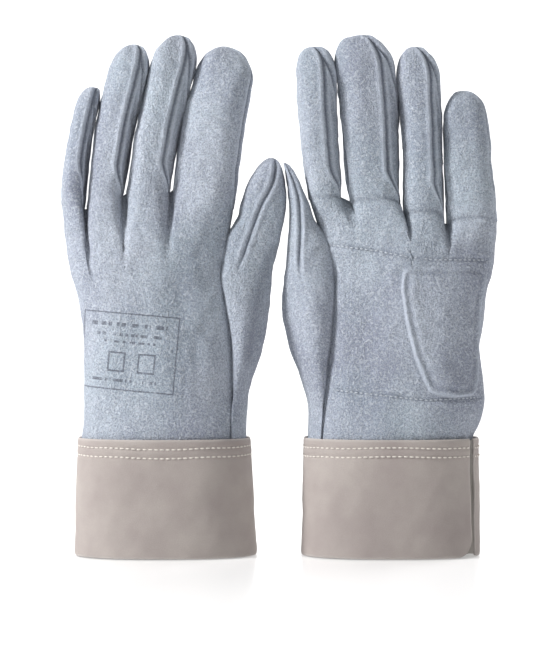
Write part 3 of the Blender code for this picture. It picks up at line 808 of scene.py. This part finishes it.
# %% Heel pads
PAD_OUTLINE = ((-8.8, 153.6), (-6.0, 152.0), (-4.5, 148.6), (-3.7, 140.8), (-6.3, 121.6), (-10.7, 104.0),
               (-16.2, 90.5), (-18.6, 86.0), (-23.0, 83.9), (-32.2, 83.0), (-41.0, 83.6), (-44.6, 86.5),
               (-46.0, 94.0), (-46.6, 117.0), (-49.2, 139.0), (-50.8, 149.0), (-49.0, 153.0), (-44.0, 153.8),
               (-26.0, 153.8))


def pad_outline(count):
    loop = np.array(PAD_OUTLINE + PAD_OUTLINE[:1])
    run = np.concatenate([[0], np.cumsum(np.hypot(*np.diff(loop, axis=0).T))])
    at = np.linspace(0, run[-1], count, endpoint=False)
    line = np.stack([np.interp(at, run, loop[:, i]) for i in (0, 1)], -1)
    for _ in range(3):
        line = (np.roll(line, 1, 0) + 2 * line + np.roll(line, -1, 0)) / 4
    return line


def heel_pad(glove, rings=64, count=320):
    line = pad_outline(count)
    if glove.name == "a":
        line[:, 0] = -4.0 + (line[:, 0] + 4.0) * 0.84
    middle = np.array([line[:, 0].mean(), 119.0])
    r = np.linspace(0, 1, rings)[:, None, None]
    place = middle + (line[None] - middle) * (1 - (1 - r) ** 1.4)
    u, z = place[..., 0], place[..., 1]
    from_edge = line_distance(u, z, np.vstack([line, line[:1]]).tolist())
    crown = 0.2 + 2.5 * smooth(from_edge, 0.0, 8.0) ** 0.7
    at_top = 1 - 0.75 * smooth(z, 146, 152)
    ridge = at_top * (1.15 * np.exp(-((from_edge - 1.9) / 1.25) ** 2) - 0.5 * np.exp(-((from_edge - 4.6) / 1.2) ** 2))
    sunk = -1.6 * np.exp(-(from_edge / 0.55) ** 2)
    out = crown + ridge + sunk + 0.35 * ripples(u, z, 41, 22) + 0.1 * ripples(u, z, 42, 7)
    k = glove.across(u, z)
    top = glove.world(*glove.hand(k, z, -1, out))
    under = glove.world(*glove.hand(k, z, -1, -1.9 + 0 * out))
    points = np.concatenate([top.reshape(-1, 3), under.reshape(-1, 3)])
    half = rings * count
    faces = grid_faces(rings, count, True)
    faces += [f[::-1] for f in grid_faces(rings, count, True, half)]
    rim = (rings - 1) * count
    faces += [[rim + c, half + rim + c, half + rim + (c + 1) % count, rim + (c + 1) % count] for c in range(count)]
    # Painted highlight on the stitched ridge.
    edge = np.exp(-((from_edge - 1.9) / 1.2) ** 2) * at_top
    # Painted shade in the valley inside the ridge and at the rim, where it dips under the palm's skin.
    dark = np.clip(np.exp(-((from_edge - 4.6) / 1.2) ** 2) * 0.35 + np.exp(-(from_edge / 0.6) ** 2), 0, 1)
    zero = np.zeros(edge.size)
    made = add_mesh(f"{glove.name}_heel_pad_skin", points, faces,
                    {"seam": np.append(dark.ravel(), zero), "edge": np.append(edge.ravel(), zero)})
    made.data.materials.append(leather)
    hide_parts(f"{glove.name}_heel_pad")
    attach(made, glove.hand_body)
    return made


for glove in GLOVES:
    print("heel pad:", len(heel_pad(glove).data.polygons), "faces")

# %% [markdown]
# ## Cuffs
# The cuff is one strip of coated canvas bent round the wrist, open in a slit on
# the little finger's side, with rounded corners.  Solidify gives the strip its
# thickness.  The strip waves a little and dips along its stitch rows, as stiff
# cloth does under thread.

# %% Cuffs
SLIT = 3.0
SLIT_TURN = 25.0
CUFF_PLY = 1.3
STITCH_HEIGHTS = (57.4, 52.8)


def cuff_strip(glove, bottom, top, out, rows, columns):
    """Grid of a strip round the wrist with rounded lower corners, and where it is."""
    girth = np.degrees(SLIT / 26.0)
    f = np.linspace(0, 1, columns)[None, :]
    f = f - 0.35 * np.sin(2 * np.pi * f) / (2 * np.pi)
    angle = -180 + girth + SLIT_TURN + f * (360 - girth)
    reach = np.minimum(f, 1 - f) * 270.0
    corner = np.where(f < 0.5, *glove.corner)
    near = np.clip(reach / corner, 0, 1)
    lift = corner * (1 - np.sqrt(1 - (1 - near) ** 2))
    x = np.linspace(0, 1, rows)[:, None]
    x = x - 0.35 * np.sin(2 * np.pi * x) / (2 * np.pi)
    z = bottom + lift + x * (top - bottom - lift)
    angle = angle + 0 * z
    return glove.world(*glove.cuff(angle, z, out)), angle, z, reach + 0 * z


def wavy(grid, angle, z, seed):
    return 0.4 * ripples(angle * 0.8, z, seed, 60) * smooth(62 - z, 0, 20) + 0.1 * ripples(angle * 0.8, z, seed, 15)


def cuff(glove):
    name = glove.name
    grid, angle, z, reach = cuff_strip(glove, 0.0, CUFF_TOP, 0.0, 110, 420)
    dip = sum(0.3 * np.exp(-((z - height) / 1.0) ** 2) for height in STITCH_HEIGHTS)
    hem = 0.35 * np.exp(-(z / 1.1) ** 2) + 0.45 * np.exp(-((z - CUFF_TOP) / 0.8) ** 2)
    grid = press(grid, wavy(grid, angle, z, 7) - dip - hem, False)
    edge = np.clip(np.exp(-(z / 0.9) ** 2) + np.exp(-((z - CUFF_TOP) / 0.9) ** 2) + np.exp(-(reach / 1.0) ** 2), 0, 1)
    made = add_mesh(f"{name}_cuff_canvas", grid.reshape(-1, 3), grid_faces(110, 420, False), {"edge": edge},
                    faces_inward)
    solidify(made, CUFF_PLY)
    made.data.materials.append(cuff_canvas)
    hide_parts(f"{name}_cuff")
    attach(made, glove.hand_body)
    return made


def faces_inward(mesh):
    """True if a wrapped strip's faces look towards its middle."""
    centre = np.mean([v.co for v in mesh.vertices], axis=0)
    return sum(np.dot(p.normal, np.array(p.center) - centre) for p in mesh.polygons) < 0


def cuff_lining(glove):
    name = glove.name
    inner = CUFF_PLY + 1.6 + 3.0
    grid, angle, z, reach = cuff_strip(glove, 0.6, CUFF_TOP - 0.4, -inner, 60, 220)
    grid = press(grid, wavy(grid, angle, z, 9), False)
    made = add_mesh(f"{name}_cuff_inner", grid.reshape(-1, 3), grid_faces(60, 220, False),
                    {"edge": 0 * z}, faces_inward)
    solidify(made, 0.9)
    made.data.materials.append(inner_canvas)
    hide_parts(f"{name}_cuff_lining")
    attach(made, glove.hand_body)
    return made


def cuff_facing(glove):
    """Closes the step between the cuff and its lining at the lower hem and the slit."""
    name = glove.name
    outer, angle, z, reach = cuff_strip(glove, 0.9, CUFF_TOP - 1.0, -CUFF_PLY + 0.1, 50, 220)
    inner, _, _, _ = cuff_strip(glove, 0.9, CUFF_TOP - 1.0, -CUFF_PLY - 4.4, 50, 220)
    border = [(0, c) for c in range(220)] + [(r, 219) for r in range(1, 50)]
    border = [(r, 0) for r in range(49, 0, -1)] + border
    rows = [np.array([(1 - s) * outer[r, c] + s * inner[r, c] for r, c in border]) for s in np.linspace(0, 1, 6)]
    grid = np.array(rows)
    made = add_mesh(f"{name}_cuff_facing", grid.reshape(-1, 3), grid_faces(6, len(border), False),
                    {"edge": np.zeros(6 * len(border))})
    made.data.materials.append(inner_canvas)
    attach(made, glove.hand_body)
    return made


# %% Linings
def palm_lining(glove):
    """The cotton lining that shows through the mouth of the glove."""
    name = glove.name
    z = np.linspace(58, 150, 70)[:, None]
    k = np.linspace(-0.93, 0.82, 90)[None, :]
    u, v, z = np.broadcast_arrays(*glove.hand(k + 0 * z, z + 0 * k, -1, -3.4))
    grid = press(glove.world(u, v, z), 0.4 * ripples(u, z, 5, 18), False)
    made = add_mesh(f"{name}_palm_cotton", grid.reshape(-1, 3), grid_faces(70, 90, False), {"edge": 0 * z},
                    lambda mesh: False)
    solidify(made, 0.9)
    made.data.materials.append(cotton)
    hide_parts(f"{name}_palm_lining")
    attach(made, glove.hand_body)
    return made


for glove in GLOVES:
    made = [cuff(glove), cuff_lining(glove), cuff_facing(glove), palm_lining(glove)]
    print(f"glove {glove.name}:", ", ".join(f"{o.name} {len(o.data.polygons)} faces" for o in made))

# %% [markdown]
# ## Stitches
# A lockstitch shows as a row of short rounded dashes.  Geometry Nodes lay them:
# a line is resampled at the stitch pitch, one small capsule is set on each
# point along the line's direction, and all become plain mesh.  Drawing them in
# a bump map would be cheaper, but they would not catch the light from the side.

# %% Stitch tree
def stitch_tree():
    tree = bpy.data.node_groups.new("lockstitch", "GeometryNodeTree")
    face = tree.interface
    face.new_socket("Line", in_out="INPUT", socket_type="NodeSocketGeometry")
    for label, value in (("Pitch", 0.0033), ("Length", 0.0024), ("Radius", 0.00042)):
        socket = face.new_socket(label, in_out="INPUT", socket_type="NodeSocketFloat")
        socket.default_value = value
    face.new_socket("Finish", in_out="INPUT", socket_type="NodeSocketMaterial")
    face.new_socket("Stitches", in_out="OUTPUT", socket_type="NodeSocketGeometry")
    nodes, links = tree.nodes, tree.links
    start, end = nodes.new("NodeGroupInput"), nodes.new("NodeGroupOutput")
    to_curve = nodes.new("GeometryNodeMeshToCurve")
    resample = nodes.new("GeometryNodeResampleCurve")
    resample.mode = "LENGTH"
    dash = nodes.new("GeometryNodeMeshUVSphere")
    dash.inputs["Segments"].default_value, dash.inputs["Rings"].default_value = 10, 8
    dash.inputs["Radius"].default_value = 1.0
    place = nodes.new("GeometryNodeInstanceOnPoints")
    tangent = nodes.new("GeometryNodeInputTangent")
    align = nodes.new("FunctionNodeAlignRotationToVector")
    align.axis = "Z"
    half = nodes.new("ShaderNodeMath")
    half.operation, half.inputs[1].default_value = "MULTIPLY", 0.5
    size = nodes.new("ShaderNodeCombineXYZ")
    realize, finish = nodes.new("GeometryNodeRealizeInstances"), nodes.new("GeometryNodeSetMaterial")
    smooth_faces = nodes.new("GeometryNodeSetShadeSmooth")
    for a, b in ((start.outputs["Line"], to_curve.inputs[0]), (to_curve.outputs[0], resample.inputs["Curve"]),
                 (start.outputs["Pitch"], resample.inputs["Length"]), (resample.outputs[0], place.inputs["Points"]),
                 (dash.outputs["Mesh"], place.inputs["Instance"]), (tangent.outputs[0], align.inputs["Vector"]),
                 (align.outputs[0], place.inputs["Rotation"]), (start.outputs["Length"], half.inputs[0]),
                 (start.outputs["Radius"], size.inputs[0]), (start.outputs["Radius"], size.inputs[1]),
                 (half.outputs[0], size.inputs[2]), (size.outputs[0], place.inputs["Scale"]),
                 (place.outputs[0], realize.inputs[0]), (realize.outputs[0], smooth_faces.inputs[0]),
                 (smooth_faces.outputs[0], finish.inputs[0]), (start.outputs["Finish"], finish.inputs["Material"]),
                 (finish.outputs[0], end.inputs[0])):
        links.new(a, b)
    return tree


lockstitch = stitch_tree()


def sew(name, lines, **sizes):
    """Stitches along lines of points, as one plain mesh."""
    points, edges = [], []
    for line in lines:
        first = len(points)
        points += [tuple(p) for p in line]
        edges += [(i, i + 1) for i in range(first, len(points) - 1)]
    mesh = bpy.data.meshes.new(name)
    mesh.from_pydata(points, edges, [])
    made = bpy.data.objects.new(name, mesh)
    bpy.context.collection.objects.link(made)
    wave = made.modifiers.new("stitch", "NODES")
    wave.node_group = lockstitch
    for item in lockstitch.interface.items_tree:
        if item.in_out == "INPUT" and item.name in sizes:
            wave[item.identifier] = sizes[item.name]
    bpy.context.view_layer.update()
    done = bpy.data.meshes.new_from_object(made.evaluated_get(bpy.context.evaluated_depsgraph_get()))
    made.modifiers.clear()
    made.data = done
    return made


# %% Sewing lines
def cuff_line(glove, height):
    girth = np.degrees(SLIT / 26.0)
    angle = np.linspace(-180 + girth + 3, 177, 400) + SLIT_TURN
    wave = 0.35 * np.sin(np.radians(angle * 3)) + 0.2 * np.sin(np.radians(angle * 7))
    return glove.world(*glove.cuff(angle, height + wave, -0.12 + 0 * angle))


def palm_line(glove, line):
    line = np.array(line)
    run = np.concatenate([[0], np.cumsum(np.hypot(*np.diff(line, axis=0).T))])
    at = np.linspace(0, run[-1], 200)
    u, z = (np.interp(at, run, line[:, i]) for i in (0, 1))
    return glove.world(*glove.hand(glove.across(u, z), z, -1, -0.35 + 0 * u))


for glove in GLOVES:
    rows = [cuff_line(glove, height) for height in STITCH_HEIGHTS]
    stitched = sew(f"{glove.name}_cuff_stitches", rows, Pitch=0.0030, Length=0.0022, Radius=0.0004, Finish=thread)
    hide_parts(f"{glove.name}_cuff_thread_upper", f"{glove.name}_cuff_thread_lower")
    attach(stitched, glove.hand_body)
    palm = sew(f"{glove.name}_palm_stitches", [palm_line(glove, line) for line in PALM_LINES[glove.name]],
               Pitch=0.0026, Length=0.0017, Radius=0.00036, Finish=palm_thread)
    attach(palm, glove.hand_body)
    print(f"glove {glove.name}: {len(stitched.data.polygons) + len(palm.data.polygons)} faces of thread")

# %% [markdown]
# ## Studio
# White paper swept up behind the pair, one large soft key from the upper left
# and a weaker fill.  The paper glows as painted light, faintly on the floor and
# more where it rises into the wall, so it reads white.  The long lens stands
# level with the gloves' middle.

# %% Backdrop
def sweep():
    rows = [(-6.0, 0.0), (2.2, 0.0), (2.6, 0.05), (2.9, 0.2), (3.1, 0.5), (3.2, 0.9), (3.2, 6.0)]
    y, z = np.array(rows).T
    t = np.linspace(0, len(rows) - 1, 60)
    y, z = np.interp(t, range(len(rows)), y), np.interp(t, range(len(rows)), z)
    grid = np.array([[(x, a, b - 0.0006) for x in np.linspace(-7, 7, 12)] for a, b in zip(y, z)])
    rise = np.repeat(smooth(y, 1.6, 3.0), 12)
    made = add_mesh("paper_sweep", grid.reshape(-1, 3), grid_faces(60, 12, False), {"rise": rise},
                    lambda mesh: False)
    if made.data.polygons[0].normal.z < 0:
        made.data.flip_normals()
    paper = bpy.data.materials.new("studio_paper")
    paper.use_nodes = True
    shader = paper.node_tree.nodes["Principled BSDF"]
    shader.inputs["Base Color"].default_value = (0.74, 0.74, 0.74, 1)
    shader.inputs["Roughness"].default_value = 0.22
    shader.inputs["Specular IOR Level"].default_value = 0.5
    shader.inputs["Emission Color"].default_value = (1, 1, 1, 1)
    # Painted light: the paper glows, from 0.30 on the floor to 0.85 up the wall.
    glow_share = paper.node_tree.nodes.new("ShaderNodeAttribute")
    glow_share.attribute_name = "rise"
    glow = paper.node_tree.nodes.new("ShaderNodeMapRange")
    glow.inputs["To Min"].default_value, glow.inputs["To Max"].default_value = 0.30, 0.85
    paper.node_tree.links.new(glow_share.outputs["Fac"], glow.inputs["Value"])
    paper.node_tree.links.new(glow.outputs[0], shader.inputs["Emission Strength"])
    made.data.materials.append(paper)
    return made


def lamp(name, place, aim, size, watts):
    data = bpy.data.lights.new(name, "AREA")
    data.shape, data.size, data.energy = "DISK", size, watts
    made = bpy.data.objects.new(name, data)
    bpy.context.collection.objects.link(made)
    made.location = place
    made.rotation_euler = (Vector(aim) - Vector(place)).to_track_quat("-Z", "Y").to_euler()
    return made


from mathutils import Vector

sweep()
lamp("key", (-1.3, -0.5, 1.0), (0, 0, 0.13), 0.35, 33)
lamp("fill", (1.2, -1.2, 0.5), (0, 0, 0.13), 1.0, 2)
lamp("rim", (0.7, 0.8, 1.0), (0, 0, 0.15), 0.6, 8)
bpy.context.scene.view_settings.view_transform = "Standard"
world = bpy.data.worlds.new("studio")
bpy.context.scene.world = world
world.use_nodes = True
world.node_tree.nodes["Background"].inputs["Color"].default_value = (1, 1, 1, 1)
world.node_tree.nodes["Background"].inputs["Strength"].default_value = 0.34

# %% Camera
VIEW_HEIGHT = 0.3514
FRAME_WIDTH, FRAME_HEIGHT = 536, 658
AIM = (-0.0059, 0.1196)
camera = bpy.data.cameras.new("studio_camera")
camera.sensor_fit = "VERTICAL"
camera.sensor_height = 24.0
distance = 1.25
camera.lens = camera.sensor_height * distance / VIEW_HEIGHT
camera.clip_end = 20
eye = bpy.data.objects.new("studio_camera", camera)
bpy.context.collection.objects.link(eye)
eye.location = (AIM[0], -distance, AIM[1] + 0.012)
eye.rotation_euler = (radians(90), 0, 0)
camera.shift_y = -0.012 / VIEW_HEIGHT
bpy.context.scene.camera = eye
